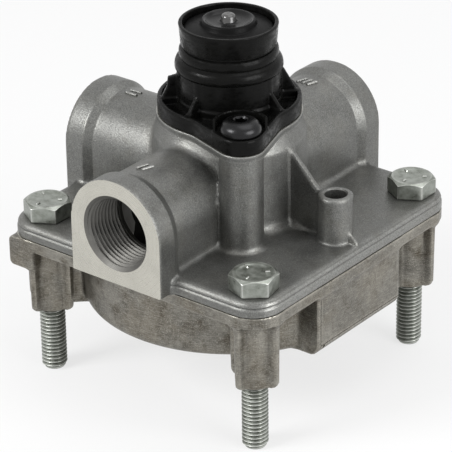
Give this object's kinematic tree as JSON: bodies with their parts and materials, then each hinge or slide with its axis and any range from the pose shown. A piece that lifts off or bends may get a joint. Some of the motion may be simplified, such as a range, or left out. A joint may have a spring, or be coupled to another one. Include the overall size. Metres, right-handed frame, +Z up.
{
  "type": "pneumatic relay valve",
  "caption": "Relay valve for vehicle air brakes: square flanged cast body with threaded side ports, bowl-shaped lower cover, flange bolts and a black exhaust snout on top.",
  "frame": {"origin": "middle of the lower cover's flat underside, on the valve's axis", "axes": "+Z up along the valve's axis towards the exhaust snout, +Y towards a delivery port, +X towards the side with the small foot boss"},
  "size_m": [0.0998, 0.1072, 0.1135],
  "materials": {
    "cast_aluminium": "fine blasted die casting",
    "cover_aluminium": "slightly stained die casting",
    "zinc_plate": "zinc plated, semi-bright",
    "black_plastic": "moulded, satin",
    "black_steel": "black passivated, glossy",
    "black_rubber": "smooth moulded",
    "turned_aluminium": "turned",
    "valve_brass": "turned",
    "guide_plastic": "moulded",
    "spring_steel": "drawn wire"
  },
  "bodies": {
    "housing": {"valve_body": "cast_aluminium", "lower_cover": "cover_aluminium", "flange_bolt_front": "zinc_plate", "flange_bolt_left": "zinc_plate", "flange_bolt_right": "zinc_plate", "flange_bolt_back": "zinc_plate", "exhaust_snout": "black_plastic", "snout_screw_front": "black_steel", "snout_screw_back": "black_steel", "exhaust_flap": "black_rubber", "snout_o_ring": "black_rubber", "cover_o_ring": "black_rubber", "valve_guide": "guide_plastic", "guide_o_ring": "black_rubber", "stem_o_ring": "black_rubber", "retaining_ring": "spring_steel", "valve_spring": "spring_steel"},
    "piston": {"relay_piston": "turned_aluminium", "piston_o_ring": "black_rubber"},
    "valve": {"inlet_valve": "valve_brass", "valve_rubber": "black_rubber"}
  },
  "joints": [
    {"name": "relay_piston_slide", "type": "slide", "parent": "housing", "child": "piston", "axis": [0, 0, 1], "range_m": [0, 0.0045]},
    {"name": "inlet_valve_slide", "type": "slide", "parent": "housing", "child": "valve", "axis": [0, 0, 1], "range_m": [0, 0.003], "deforming": ["valve_spring"]}
  ],
  "couplings": [
    {"joint": "inlet_valve_slide", "follows": "relay_piston_slide", "ratio": 0.6666}
  ]
}
